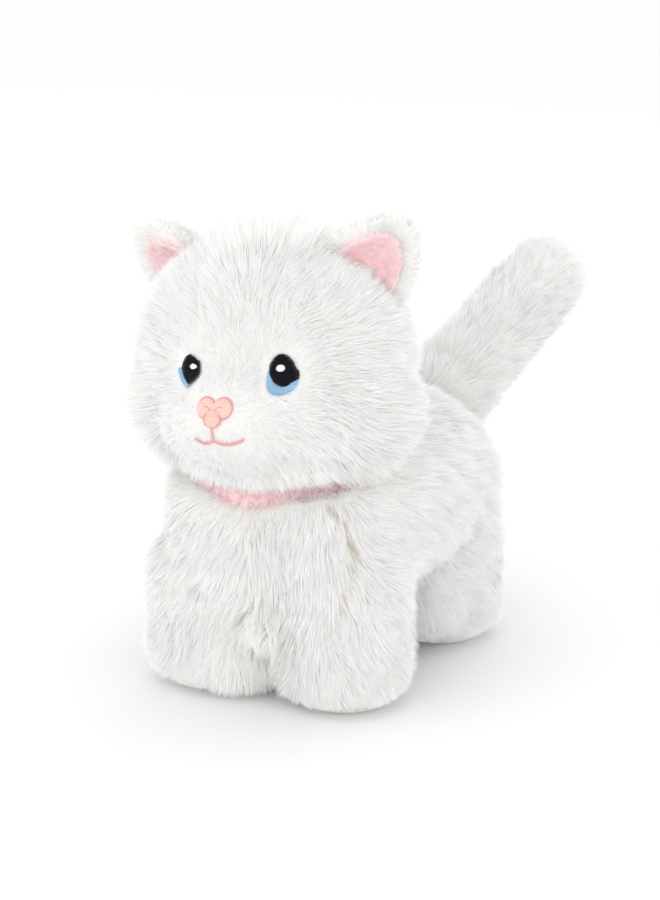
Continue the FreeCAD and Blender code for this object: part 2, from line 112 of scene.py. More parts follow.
def fade(values, low, high):
    """0 below low, 1 above high, smooth between."""
    share = np.clip((np.asarray(values, float) - low) / (high - low), 0, 1)
    return share * share * (3 - 2 * share)


def normalised(vectors):
    return vectors / np.maximum(np.linalg.norm(vectors, axis=1, keepdims=True), 1e-9)


def waves(points, size, seed):
    """Smooth noise between -1.2 and 1.2 at points in metres, with waves about size metres long."""
    draw = np.random.default_rng(seed)
    steps = draw.normal(size=(9, 3)) * (2 * math.pi / size / 1.7)
    phases = draw.uniform(0, 2 * math.pi, 9)
    return np.clip(np.sin(points @ steps.T + phases).sum(axis=1) / 3.0, -1.2, 1.2)


def wave_vectors(points, size, seed):
    return np.stack([waves(points, size, seed + axis) for axis in range(3)], axis=1)


# ---------------------------------------------------------------- materials

def principled(name, colour, roughness, specular=0.3):
    """A material whose values all sit on the shader's own sockets."""
    material = bpy.data.materials.new(name)
    material.use_nodes = True
    shader = material.node_tree.nodes["Principled BSDF"]
    shader.inputs["Base Color"].default_value = (*colour, 1)
    shader.inputs["Roughness"].default_value = roughness
    shader.inputs["Specular IOR Level"].default_value = specular
    return material


def cloth_material(name, low, high, roughness, grain, bump, specular=0.25):
    """Fabric whose colour and height vary with a fine grain, in object space.

    low and high are the ends of its colour; grain and bump are in metres.
    """
    material = principled(name, high, roughness, specular=specular)
    nodes = material.node_tree.nodes
    links = material.node_tree.links
    shader = nodes["Principled BSDF"]
    place = nodes.new("ShaderNodeTexCoord")
    noise = nodes.new("ShaderNodeTexNoise")
    noise.inputs["Scale"].default_value = 1 / grain
    noise.inputs["Detail"].default_value = 4
    ramp = nodes.new("ShaderNodeValToRGB")
    ramp.color_ramp.elements[0].position = 0.3
    ramp.color_ramp.elements[0].color = (*low, 1)
    ramp.color_ramp.elements[1].position = 0.7
    ramp.color_ramp.elements[1].color = (*high, 1)
    height = nodes.new("ShaderNodeBump")
    height.inputs["Strength"].default_value = 0.5
    height.inputs["Distance"].default_value = bump
    links.new(place.outputs["Object"], noise.inputs["Vector"])
    links.new(noise.outputs["Fac"], ramp.inputs["Fac"])
    links.new(ramp.outputs["Color"], shader.inputs["Base Color"])
    links.new(noise.outputs["Fac"], height.inputs["Height"])
    links.new(height.outputs["Normal"], shader.inputs["Normal"])
    return material


# Colours are linear.
WHITE_PILE = [
    principled("pile_white", (0.965, 0.96, 0.95), 0.7, specular=0.2),
    principled("pile_bright", (0.985, 0.985, 0.98), 0.6, specular=0.3),
    principled("pile_warm", (0.955, 0.95, 0.925), 0.7, specular=0.2),
    principled("pile_cool", (0.94, 0.95, 0.955), 0.7, specular=0.2),
]
PINK_PILE = [
    principled("pink_pile", (0.99, 0.86, 0.87), 0.7),
    principled("pink_pile_light", (0.995, 0.91, 0.915), 0.65),
    principled("pink_pile_deep", (0.985, 0.80, 0.82), 0.75),
]
SEAM_PILE = [
    principled("seam_pile", (0.80, 0.74, 0.60), 0.8),
    principled("seam_pile_light", (0.86, 0.82, 0.72), 0.8),
]
BACKING = cloth_material("plush_backing", (0.84, 0.835, 0.82), (0.90, 0.895, 0.885), 0.9, 0.0015,
                         0.0006)
PINK_BACKING = cloth_material("pink_backing", (0.975, 0.70, 0.72), (0.985, 0.79, 0.81), 0.9, 0.0015,
                              0.0005)
SOLE_CLOTH = cloth_material("sole_cloth", (0.80, 0.79, 0.77), (0.88, 0.87, 0.85), 0.9, 0.001, 0.0004)
BLACK_THREAD = cloth_material("black_thread", (0.003, 0.003, 0.004), (0.010, 0.010, 0.013), 0.6,
                              0.0006, 0.0001, specular=0.12)
BLUE_THREAD = cloth_material("blue_thread", (0.24, 0.46, 0.67), (0.38, 0.60, 0.79), 0.5, 0.0006,
                             0.0001)
WHITE_THREAD = cloth_material("white_thread", (0.90, 0.90, 0.91), (0.97, 0.97, 0.97), 0.5, 0.0006,
                              0.0001)
NOSE_THREAD = cloth_material("nose_thread", (0.92, 0.56, 0.50), (0.98, 0.70, 0.63), 0.5, 0.0008,
                             0.0001)
NOSE_LINE = cloth_material("nose_line_thread", (0.70, 0.28, 0.27), (0.80, 0.38, 0.36), 0.6, 0.0006,
                           0.0001)
MOUTH_THREAD = cloth_material("mouth_thread", (0.72, 0.32, 0.33), (0.82, 0.44, 0.44), 0.6, 0.0006,
                              0.0001)


# ---------------------------------------------------------------- meshes

def add_object(name, mesh, materials=()):
    piece = bpy.data.objects.new(name, mesh)
    bpy.context.collection.objects.link(piece)
    for material in materials:
        mesh.materials.append(material)
    return piece


def mesh_from(name, points, faces, materials, smooth=True):
    mesh = bpy.data.meshes.new(name)
    mesh.from_pydata([tuple(point) for point in points], [], [tuple(face) for face in faces])
    mesh.validate()
    if signed_volume(mesh) < 0:
        mesh.flip_normals()
    if smooth:
        mesh.shade_smooth()
    return add_object(name, mesh, materials)


def triangle_corners(mesh):
    """The three vertex numbers of each triangle of a mesh."""
    mesh.calc_loop_triangles()
    corners = np.empty(len(mesh.loop_triangles) * 3, dtype=np.int32)
    mesh.loop_triangles.foreach_get("vertices", corners)
    return corners.reshape(-1, 3)


def signed_volume(mesh):
    """Six times the volume inside a mesh, below zero where its faces point inwards."""
    corners = triangle_corners(mesh)
    points, _ = points_and_normals(mesh)
    a, b, c = (points[corners[:, index]] for index in range(3))
    return (a * np.cross(b, c)).sum()


def applied(piece):
    """The piece's mesh with its modifiers applied, in place of the mesh that it had."""
    bpy.context.view_layer.update()
    shown = piece.evaluated_get(bpy.context.evaluated_depsgraph_get())
    mesh = bpy.data.meshes.new_from_object(shown)
    piece.modifiers.clear()
    piece.data = mesh
    return piece


def ball(place, centre, radii, behind=None, steps=40):
    """Points and faces of an ellipsoid in a local frame; its half behind Y = 0 may be deeper."""
    points = []
    for ring in range(1, steps // 2):
        polar = math.pi * ring / (steps // 2)
        for step in range(steps):
            around = 2 * math.pi * step / steps
            points.append((math.sin(polar) * math.cos(around), math.sin(polar) * math.sin(around),
                           math.cos(polar)))
    count = len(points)
    points += [(0, 0, 1), (0, 0, -1)]
    faces = []
    for ring in range(steps // 2 - 2):
        for step in range(steps):
            start, following = ring * steps + step, ring * steps + (step + 1) % steps
            faces.append((start, start + steps, following + steps, following))
    for step in range(steps):
        following = (step + 1) % steps
        faces.append((count, step, following))
        last = count - steps
        faces.append((count + 1, last + following, last + step))
    points = np.array(points) * np.array(radii)
    if behind is not None:
        points[:, 1] *= np.where(points[:, 1] > 0, behind / radii[1], 1.0)
    return place.out(points + np.array(centre)), faces


def joined(parts):
    """Several lots of points and faces as one."""
    points, faces, start = [], [], 0
    for part_points, part_faces in parts:
        points.append(np.asarray(part_points))
        faces += [[corner + start for corner in face] for face in part_faces]
        start += len(part_points)
    return np.concatenate(points), faces


def node_parts(names):
    """Points and faces of CAD nodes, as they stand in the frame."""
    parts = []
    for name in names:
        mesh = frame["nodes"][name].data
        points = np.empty(len(mesh.vertices) * 3)
        mesh.vertices.foreach_get("co", points)
        faces = [list(face.vertices) for face in mesh.polygons]
        parts.append((points.reshape(-1, 3), faces))
    return parts


def skin(name, parts, materials, voxel=3.0, smoothing=8, inset=0.0, pressure=0.0, cap=2.5):
    """One closed padded skin round several solids.

    The solids are melted together, swelled by a short cloth simulation where pressure is given,
    smoothed, and drawn in by inset millimetres so that the pile can stand on it.
    """
    points, faces = joined(parts)
    piece = mesh_from(name, points, faces, materials)
    remesh = piece.modifiers.new("melt", "REMESH")
    remesh.mode = "VOXEL"
    remesh.voxel_size = voxel * MM
    applied(piece)
    soften = piece.modifiers.new("soften", "SMOOTH")
    soften.factor = 0.5
    soften.iterations = smoothing
    applied(piece)
    if pressure:
        swell(piece, pressure, cap * MM)
    mesh = piece.data
    mesh.shade_smooth()
    mesh.materials.clear()
    for material in materials:
        mesh.materials.append(material)
    points, normals = points_and_normals(mesh)
    mesh.vertices.foreach_set("co", (points - normals * inset * MM).ravel())
    mesh.update()
    return piece


def soft_piece(piece, body, slot, fill, *nodes):
    """Rides a padded piece on its body and hides the CAD nodes that it shows; slot and fill are not used.
    """
    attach(piece, body)
    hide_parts(*nodes)


def points_and_normals(mesh):
    count = len(mesh.vertices)
    points = np.empty(count * 3)
    normals = np.empty(count * 3)
    mesh.vertices.foreach_get("co", points)
    mesh.vertices.foreach_get("normal", normals)
    return points.reshape(-1, 3), normals.reshape(-1, 3)


def swell(piece, pressure, cap):
    """A short cloth simulation under air pressure, with no point moving further than cap."""
    before, _ = points_and_normals(piece.data)
    cloth = piece.modifiers.new("cloth", "CLOTH")
    cloth.settings.use_pressure = True
    cloth.settings.uniform_pressure_force = pressure
    cloth.settings.effector_weights.gravity = 0
    cloth.settings.mass = 0.2
    cloth.settings.quality = 4
    cloth.point_cache.frame_start = 1
    cloth.point_cache.frame_end = 20
    for number in range(1, 21):
        bpy.context.scene.frame_set(number)
    applied(piece)
    bpy.context.scene.frame_set(1)
    after, _ = points_and_normals(piece.data)
    moved = after - before
    length = np.linalg.norm(moved, axis=1, keepdims=True)
    moved *= np.minimum(1, cap / np.maximum(length, 1e-9))
    piece.data.vertices.foreach_set("co", (before + moved).ravel())
    piece.data.update()


# ---------------------------------------------------------------- pile

# A strand has two rows of points, each with its share of the width, and a tip.
ROWS = np.array([0.0, 0.5, 1.0])
ROW_WIDTHS = np.array([0.9, 0.85])

# Strands to a square millimetre, and their width in millimetres.
HEAD_DENSE, TORSO_DENSE, TAIL_DENSE, NECK_DENSE = 3.6, 3.0, 3.2, 3.2
EAR_DENSE, LINING_DENSE, COLLAR_DENSE = 5.5, 7.0, 6.0
HEAD_STRAND, BODY_STRAND, SHORT_STRAND, LINING_STRAND = 0.21, 0.22, 0.20, 0.18


def sample(piece, per_square_mm, seed):
    """Points spread evenly over a mesh, with the mesh's smooth normals there."""
    corners = triangle_corners(piece.data)
    points, normals = points_and_normals(piece.data)
    a, b, c = (points[corners[:, index]] for index in range(3))
    areas = np.linalg.norm(np.cross(b - a, c - a), axis=1) / 2
    draw = np.random.default_rng(seed)
    number = int(areas.sum() / MM ** 2 * per_square_mm * PILE_SHARE)
    chosen = np.searchsorted(np.cumsum(areas) / areas.sum(), draw.random(number))
    chosen = np.minimum(chosen, len(corners) - 1)
    first, second = draw.random(number), draw.random(number)
    fold = first + second > 1
    first[fold], second[fold] = 1 - first[fold], 1 - second[fold]
    weights = np.stack([1 - first - second, first, second], axis=1)[:, :, None]
    spots = (points[corners[chosen]] * weights).sum(axis=1)
    outward = normalised((normals[corners[chosen]] * weights).sum(axis=1))
    return spots, outward


class Groom:
    """What the pile does at each root: its length, lean and the way that it is brushed."""

    def __init__(self, flow, length, lean_root, lean_tip, keep=None, tint=None, hold=0.25):
        self.flow = flow
        self.length = length
        self.lean_root = lean_root
        self.lean_tip = lean_tip
        self.keep = keep
        self.tint = tint
        self.hold = hold


def strand_rows(roots, normals, groom, draw, seed, clump):
    """The centre line of every strand: one array of points for each row, root first."""
    count = len(roots)
    flow = groom.flow - normals * (groom.flow * normals).sum(axis=1, keepdims=True)
    flow = normalised(flow) + wave_vectors(roots, 0.030, seed) * 0.24
    flow += wave_vectors(roots, 0.008, seed + 5) * 0.15
    flow -= normals * (flow * normals).sum(axis=1, keepdims=True)
    flow = normalised(flow)
    across = np.cross(normals, flow)
    stray = draw.normal(0, 0.16, (count, 1))
    flow = normalised(flow + across * stray)
    length = groom.length * MM * draw.uniform(0.72, 1.12, count)
    long_one = draw.random(count) < 0.04
    length = np.where(long_one, length * 1.18, length)
    lean_shift = waves(roots, 0.011, seed + 9) * 0.13 + draw.normal(0, 0.10, count)
    lean_root = np.clip(groom.lean_root + lean_shift, 0.05, 1.45)
    lean_tip = np.clip(groom.lean_tip + lean_shift * 1.5, 0.05, 1.52)
    rows = [roots]
    place = roots.copy()
    for previous, share in zip(ROWS[:-1], ROWS[1:]):
        middle = (previous + share) / 2
        lean = (lean_root * (1 - middle) + lean_tip * middle)[:, None]
        way = normals * np.cos(lean) + flow * np.sin(lean)
        way[:, 2] -= 0.10 * middle
        place = place + normalised(way) * (length * (share - previous))[:, None]
        rows.append(place)
    leaders = draw.choice(count, max(1, int(count / clump)), replace=False)
    tree = KDTree(len(leaders))
    for index, leader in enumerate(leaders):
        tree.insert(roots[leader], index)
    tree.balance()
    nearest = np.array([tree.find(root)[1] for root in roots])
    leader_of = leaders[nearest]
    hold = groom.hold * draw.uniform(0.5, 1.5, len(leaders))[nearest]
    offset = roots[leader_of]
    for index, share in enumerate(ROWS):
        target = rows[index][leader_of] - offset
        own = rows[index] - roots
        meet = rows[index][leader_of]
        pull = (hold * share ** 1.4)[:, None]
        even = roots + own * (1 - pull) + target * pull
        rows[index] = even * (1 - pull * 0.6) + meet * pull * 0.6
    return rows, flow


def pile(name, roots, normals, groom, materials, width, seed, body, clump=22, floor=None,
         softness=0.86, weights=None):
    """A mesh of tapering strands that stand on roots, riding on body.

    clump is how many strands share a leader, floor the lowest height in millimetres, softness how
    far the shading follows the skin, and weights the share of each material.
    """
    draw = np.random.default_rng(seed)
    rows, flow = strand_rows(roots, normals, groom, draw, seed, clump)
    if floor is not None:
        for row in rows:
            row[:, 2] = np.maximum(row[:, 2], floor * MM)
    count = len(roots)
    along = normalised(rows[-1] - rows[0])
    side = normalised(np.cross(along, normals))
    twist = draw.normal(0, 0.55, (count, 1))
    side = normalised(side * np.cos(twist) + np.cross(along, side) * np.sin(twist))
    face_out = normalised(np.cross(side, along))
    outward = np.sign((face_out * normals).sum(axis=1, keepdims=True) + 1e-9)
    side, face_out = side * outward, face_out * outward
    half = width * MM / 2 * draw.uniform(0.75, 1.25, (count, 1))
    stand = (along * normals).sum(axis=1, keepdims=True) ** 2
    soft = softness * np.clip(1.25 * (1 - stand), 0.2, 1)
    tone = normalised(normals * soft + face_out * (1 - soft))
    corners = []
    for row, share in zip(rows, ROW_WIDTHS):
        corners += [row - side * half * share, row + side * half * share]
    corners.append(rows[-1])
    points = np.stack(corners, axis=1).reshape(-1, 3)
    base = np.arange(count)[:, None] * len(corners)
    loops = np.concatenate([base + np.array([[0, 1, 3, 2]]), base + np.array([[2, 3, 4]])],
                           axis=1).ravel()
    mesh = bpy.data.meshes.new(name)
    mesh.vertices.add(len(points))
    mesh.vertices.foreach_set("co", points.ravel())
    mesh.loops.add(len(loops))
    mesh.loops.foreach_set("vertex_index", loops.astype(np.int32))
    sizes = np.tile([4, 3], count)
    starts = np.concatenate([[0], np.cumsum(sizes)[:-1]])
    mesh.polygons.add(len(sizes))
    mesh.polygons.foreach_set("loop_start", starts.astype(np.int32))
    chances = np.array(weights if weights is not None else [1 / len(materials)] * len(materials))
    shade = draw.choice(len(materials), count, p=chances / chances.sum())
    if groom.tint is not None:
        shade = np.where(groom.tint >= 0, groom.tint, shade)
    mesh.polygons.foreach_set("material_index", np.repeat(shade, 2).astype(np.int32))
    mesh.polygons.foreach_set("use_smooth", np.ones(len(sizes), dtype=bool))
    mesh.update(calc_edges=True)
    mesh.normals_split_custom_set_from_vertices(np.repeat(tone, len(corners), axis=0))
    piece = add_object(name, mesh, materials)
    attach(piece, body)
    return piece


def take(groom, chosen):
    """The groom of some of the roots."""
    def some(values):
        return values[chosen] if isinstance(values, np.ndarray) else values
    return Groom(some(groom.flow), some(groom.length), some(groom.lean_root), some(groom.lean_tip),
                 tint=some(groom.tint), hold=groom.hold)


WHITE_WEIGHTS = [0.42, 0.22, 0.20, 0.16]


def grow(label, spots, normals, groom, regions, materials, width, seed, body, **more):
    """Splits roots between named regions and grows a pile in each."""
    for index, (region, inside) in enumerate(regions.items()):
        chosen = inside if groom.keep is None else inside & groom.keep
        if chosen.any():
            pile(label + region, spots[chosen], normals[chosen], take(groom, chosen), materials,
                 width, seed + 100 * index, body, **more)


def hollow_under(piece, place, radius):
    """Lifts the underside of a skin off a ball at a place's origin, which then turns freely."""
    points, _ = points_and_normals(piece.data)
    local = place.into(points)
    wide = np.linalg.norm(local[:, :2], axis=1)
    top = np.sqrt(np.maximum(0, radius ** 2 - wide ** 2))
    local[:, 2] = np.where((wide < radius) & (local[:, 2] < top), top, local[:, 2])
    piece.data.vertices.foreach_set("co", place.out(local).ravel())
    piece.data.update()


# ---------------------------------------------------------------- head

FACE_WIDE, FACE_DEEP, FACE_HIGH = 68.0, 37.5, 55.5
STEM_X = -0.7
SMILE_LEFT, SMILE_RIGHT, SMILE_DEEP = 14.2, 9.6, 1.9
MUZZLE_AT = np.array([0.0, -33.0, -23.0])
MUZZLE_SIZE = np.array([31.0, 26.0, 22.5])
EYE_SIDE, EYE_DROP = 24.5, 1.0
EYE_WIDE, EYE_HIGH = 8.2, 10.2
NOSE_DROP = 15.6
MOUTH_DROP = 27.4
NECK_CLEAR = 41.5

head_parts = [
    ball(HEAD, (0, 0, 0), (FACE_WIDE - 1.5, FACE_DEEP, FACE_HIGH), behind=54.0),
    ball(HEAD, (-41, -2, -19), (29, 27, 29)),
    ball(HEAD, (41, -2, -19), (29, 27, 29)),
    ball(HEAD, (0, -13, -25), (49, 36, 29)),
    ball(HEAD, MUZZLE_AT, MUZZLE_SIZE),
]
head_skin = skin("head_skin", head_parts, [BACKING], voxel=2.6, smoothing=9, pressure=1.5, cap=1.0)
hollow_under(head_skin, NECK, NECK_CLEAR)
soft_piece(head_skin, "head", "plush", 0.8, "forehead_gusset", "crown_gusset", "cheek_left",
           "cheek_right", "head_back_left", "head_back_right", "muzzle_panel", "chin_panel",
           "head_stuffing")


def eye_distance(local):
    """Millimetres outside the nearer eye's edge, in the plane of the face; large behind."""
    side = np.abs(local[:, 0]) - EYE_SIDE
    up = local[:, 2] + EYE_DROP
    ratio = np.sqrt((side / EYE_WIDE) ** 2 + (up / EYE_HIGH) ** 2)
    away = (ratio - 1) * 9.0
    return np.where(local[:, 1] < -8, away, 99.0)


def eye_outward(local):
    """The way from the middle of the nearer eye, in the plane of the face."""
    side = (np.abs(local[:, 0]) - EYE_SIDE) * np.sign(local[:, 0])
    return np.stack([side, np.zeros(len(local)), local[:, 2] + EYE_DROP], axis=1)


def nose_distance(local):
    """Millimetres outside the nose's edge; large behind."""
    flat = np.stack([(local[:, 0] + 0.4) / 8.9, (local[:, 2] + NOSE_DROP) / 6.4], axis=1)
    away = (np.linalg.norm(flat, axis=1) - 1) * 8.5
    return np.where(local[:, 1] < -40, away, 99.0)


def mouth_distance(local):
    """Millimetres from the mouth's threads; large behind."""
    x, z = local[:, 0] - STEM_X, local[:, 2]
    nearest = np.full(len(local), 99.0)
    for low_x, high_x in ((-SMILE_RIGHT, 0.0), (0.0, SMILE_LEFT)):
        share = np.clip((x - low_x) / (high_x - low_x), 0, 1)
        off_end = np.maximum(np.maximum(low_x - x, x - high_x), 0)
        arc = np.hypot(off_end, z + MOUTH_DROP + SMILE_DEEP * np.sin(math.pi * share))
        nearest = np.minimum(nearest, arc)
    stem = np.hypot(x, np.maximum(np.abs(z + MOUTH_DROP - 2.8) - 3.2, 0))
    return np.where(local[:, 1] < -36, np.minimum(nearest, stem) - 0.6, 99.0)


def head_groom(spots, normals):
    """The pile of the head: brushed away from the nose, short round the eyes and the mouth, and
    long on the crown, the cheeks and under the chin."""
    local = HEAD.into(spots)
    nose = np.array([0.0, -52.0, -12.0])
    outward = normalised(local - nose)
    back = fade(local[:, 1], -5, 25)[:, None]
    fall = np.array([0.0, 0.55, -0.75])
    flow = outward * (1 - back) + (outward * 0.4 + fall) * back
    away = np.minimum(eye_distance(local), nose_distance(local))
    near_eye = 1 - fade(eye_distance(local), 0, 6)
    flow = normalised(flow) + normalised(eye_outward(local)) * near_eye[:, None] * 1.2
    from_face = np.linalg.norm((local - nose) * np.array([1, 0.8, 1]), axis=1)
    length = 4.6 + 7.0 * fade(from_face, 20, 66)
    crown = fade(local[:, 2], 42, 55)
    cheek = fade(-local[:, 2], 8, 34) * fade(np.abs(local[:, 0]), 30, 52)
    under = fade(-local[:, 2], 38, 48)
    length = length + 6.5 * crown + 4.5 * cheek
    hanging = 10.5 + 6.0 * fade(np.abs(local[:, 0]), 20, 36)
    length = length * (1 - under) + hanging * under
    length *= 0.45 + 0.55 * fade(away, 0, 7)
    length *= 0.4 + 0.6 * fade(mouth_distance(local), 0, 5)
    gusset = (np.abs(np.abs(local[:, 0]) - 17.0) < 0.9) & (local[:, 2] > -8) & (local[:, 1] < 20)
    length = np.where(gusset, length * 0.62, length)
    hang = under * fade(local[:, 1], -48, -26)
    lean_root = 0.85 - 0.50 * np.maximum(crown, hang)
    lean_tip = 1.22 - 0.70 * np.maximum(crown, hang * 0.8)
    neck = NECK.into(spots)
    inside = (np.linalg.norm(neck[:, :2], axis=1) < NECK_CLEAR + 1) & (neck[:, 2] < 30)
    keep = ~inside & (away > -1.5) & (mouth_distance(local) > 0.15)
    return local, Groom(HEAD.turn_out(flow), length, lean_root, lean_tip, keep=keep, hold=0.16)


spots, normals = sample(head_skin, HEAD_DENSE, 11)
local, groom = head_groom(spots, normals)
front = local[:, 1] < -8
regions = {
    "face_left": front & (local[:, 0] >= 0),
    "face_right": front & (local[:, 0] < 0),
    "crown": ~front & (local[:, 2] > 22),
    "back_left": ~front & (local[:, 2] <= 22) & (local[:, 0] >= 0),
    "back_right": ~front & (local[:, 2] <= 22) & (local[:, 0] < 0),
}
grow("pile_", spots, normals, groom, regions, WHITE_PILE, HEAD_STRAND, 1000,
     "head", weights=WHITE_WEIGHTS)


# ---------------------------------------------------------------- torso and legs

def ring(place, radius, half_high, half_thick, rise=0.0, around=120, section=16):
    """A padded band: an oval section carried round a place's Z axis."""
    points, faces = [], []
    for step in range(around):
        turn = 2 * math.pi * step / around
        for part in range(section):
            angle = 2 * math.pi * part / section
            out = radius + half_thick * math.cos(angle)
            points.append((out * math.cos(turn), out * math.sin(turn),
                           rise + half_high * math.sin(angle)))
    for step in range(around):
        for part in range(section):
            after, above = (step + 1) % around, (part + 1) % section
            faces.append((step * section + part, after * section + part, after * section + above,
                          step * section + above))
    return place.out(points), faces


def leg_offsets(local):
    """Each point's offset from the axis of its nearest leg, in the plane of the floor."""
    centre_x = np.where(local[:, 0] > 0, LEG_SIDE, -LEG_SIDE)
    centre_y = np.where(local[:, 1] > 0, LEG_AHEAD, -LEG_AHEAD)
    return local[:, :2] - np.stack([centre_x, centre_y], axis=1)


PAW_GROW, PAW_GROW_INNER = 0.05, 0.21
PAW_TUCK, PAW_TUCK_HIGH = 0.24, 18
CHEST_NARROW = 0.15
RUMP_NARROW, RUMP_AHEAD = 0.14, 8.0
GAP_SHIFT = 7.0


def shape_torso(piece):
    """Fills the legs out towards each other, rounds the paws off above the soles, narrows the
    chest and the rump, and moves the gap between the front paws to the cat's left."""
    points, _ = points_and_normals(piece.data)
    local = TORSO.into(points)
    offset = leg_offsets(local)
    inner = np.clip(-offset[:, 0] * np.sign(local[:, 0]) / 30, 0, 1)
    leg_part = 1 - fade(local[:, 2], 44, 62)
    grown = 1 + leg_part * (PAW_GROW + PAW_GROW_INNER * inner)
    tuck = 1 - PAW_TUCK * np.clip(1 - local[:, 2] / PAW_TUCK_HIGH, 0, 1) ** 2
    local[:, :2] += offset * ((grown * tuck - 1) * (leg_part > 0))[:, None]
    chest = fade(local[:, 2], 58, 84) * (1 - fade(local[:, 1], -70, -20))
    local[:, 0] *= 1 - CHEST_NARROW * chest
    rump = fade(local[:, 2], 84, 120) * fade(local[:, 1], 10, 70)
    local[:, 0] *= 1 - RUMP_NARROW * rump
    local[:, 1] -= RUMP_AHEAD * rump
    between = np.clip(1 - np.abs(local[:, 0]) / 50, 0, 1) * (1 - fade(local[:, 1], -30, -10))
    local[:, 0] += GAP_SHIFT * between * (1 - fade(local[:, 2], 40, 70))
    piece.data.vertices.foreach_set("co", TORSO.out(local).ravel())
    piece.data.update()


torso_nodes = [name for name, piece in frame["nodes"].items()
               if name.startswith(("torso_", "chest_", "belly_", "leg_", "paw_"))]
# Round forms that fill out the plain CAD solids: a band of shoulder under the collar, the belly,
# the foot of the chest, and the front of each thigh and the back of each foreleg.
torso_fill = [ring(NECK, 47.0, 6.5, 5.4, rise=-11.5), ball(TORSO, (0, 0, 58), (44, 50, 26)),
              ball(TORSO, (0, -60, 46), (20, 22, 24))]
for side in (-1, 1):
    torso_fill += [ball(TORSO, (35 * side, 37, 34), (27, 29, 33)),
                   ball(TORSO, (35 * side, -40, 40), (26, 22, 36))]
torso_skin = skin("torso_skin", node_parts(torso_nodes) + torso_fill, [BACKING], voxel=3.0,
                  smoothing=16, inset=2.0, pressure=1.5, cap=1.5)
shape_torso(torso_skin)
soft_piece(torso_skin, "torso", "plush", 0.8,
           *[node for node in torso_nodes if not node.startswith("paw_sole_")])
for side, side_name in ((1, "left"), (-1, "right")):
    for ahead, end_name in ((-1, "front"), (1, "hind")):
        leg = end_name + "_" + side_name
        points, faces = ball(TORSO, (LEG_SIDE * side, LEG_AHEAD * ahead, SOLE_HIGH), SOLE_SIZE)
        sole = mesh_from("sole_pad_" + leg, points, faces, [SOLE_CLOTH])
        soft_piece(sole, "torso", "sole", 0.3, "paw_sole_" + leg)


def torso_groom(spots, normals):
    """The pile of the torso: brushed back along the sides and down the chest and the legs."""
    local = TORSO.into(spots)
    side = np.sign(local[:, 0])
    leg_part = 1 - fade(local[:, 2], 40, 75)
    chest = 1 - fade(local[:, 1], -78, -52)
    flow = np.zeros((len(local), 3))
    flow[:, 0] = side * 0.25
    flow[:, 1] = 0.95 * (1 - chest) * (1 - 0.75 * leg_part)
    flow[:, 2] = -0.45 - 0.55 * np.maximum(chest, leg_part)
    outer = fade(np.abs(local[:, 0]), 40, 62)
    flow[:, 0] += side * 0.5 * outer * leg_part
    flow[:, 1] += 0.45 * outer * leg_part
    offset = leg_offsets(local)
    inner = fade(-offset[:, 0] * side, 10, 26) * leg_part
    length = 12.0 - 2.0 * leg_part
    length = length * (0.40 + 0.60 * fade(local[:, 2], 2, 20))
    length = length + 3.0 * inner
    fringe = chest * fade(local[:, 2], 44, 54) * (1 - fade(local[:, 2], 66, 78))
    fringe = fringe * (1 - fade(np.abs(local[:, 0]), 34, 46))
    lean_root = 0.85 - 0.55 * inner - 0.20 * fringe
    lean_tip = 1.20 - 0.70 * inner - 0.30 * fringe
    length = length + 2.5 * fringe
    sole = (normals[:, 2] < -0.75) & (local[:, 2] < 6)
    belly = (normals[:, 2] < -0.5) & (local[:, 2] > 20)
    length = np.where(belly, 8.0, length)
    neck = NECK.into(spots)
    from_neck = np.linalg.norm(neck[:, :2], axis=1)
    collar_side = 1 - fade(from_neck, 46, 62)
    collar_side = collar_side * fade(neck[:, 2], -22, -10)
    length = length * (1 - 0.42 * collar_side)
    lean_root = lean_root - 0.75 * collar_side
    lean_tip = lean_tip - 0.70 * collar_side
    under = (from_neck < 43.5) & (neck[:, 2] > -25)
    seam = seam_distance(local) < 0.7
    tint = np.where(seam & (waves(spots, 0.004, 77) > -0.4), 4, -1)
    length = np.where(seam, length * 0.6, length)
    return local, Groom(TORSO.turn_out(flow), length, lean_root, lean_tip, keep=~sole & ~under,
                        tint=tint, hold=0.28)


def seam_distance(local):
    """Millimetres from the seam that joins the chest panel to the side of the torso."""
    height = np.array([46.0, 52.0, 60.0, 80.0, 100.0, 106.0])
    side = np.array([40.0, 44.0, 47.0, 48.0, 44.0, 38.0])
    away = np.abs(np.abs(local[:, 0]) - np.interp(local[:, 2], height, side))
    on_front = (local[:, 1] < -52) & (local[:, 2] > 46) & (local[:, 2] < 106)
    return np.where(on_front, away, 99.0)


spots, normals = sample(torso_skin, TORSO_DENSE, 21)
local, groom = torso_groom(spots, normals)
low = local[:, 2] < 52
ahead = local[:, 1] < 0
left = local[:, 0] >= 0
regions = {
    "leg_front_left": low & ahead & left,
    "leg_front_right": low & ahead & ~left,
    "leg_hind_left": low & ~ahead & left,
    "leg_hind_right": low & ~ahead & ~left,
    "chest": ~low & (local[:, 1] < -48),
    "side_left": ~low & (local[:, 1] >= -48) & left,
    "side_right": ~low & (local[:, 1] >= -48) & ~left,
}
grow("pile_", spots, normals, groom, regions, WHITE_PILE + SEAM_PILE, BODY_STRAND,
     2000, "torso", floor=0.4, weights=WHITE_WEIGHTS + [0, 0])


# ---------------------------------------------------------------- tail

ROOT_RADIUS = 21

root_skin = skin("tail_root_skin", [ball(TAIL, (0, 0, 0), (ROOT_RADIUS,) * 3)], [BACKING],
                 voxel=2.6, smoothing=3)
soft_piece(root_skin, "tail_root", "plush", 0.7, "tail_root_cover", "tail_root_stuffing")
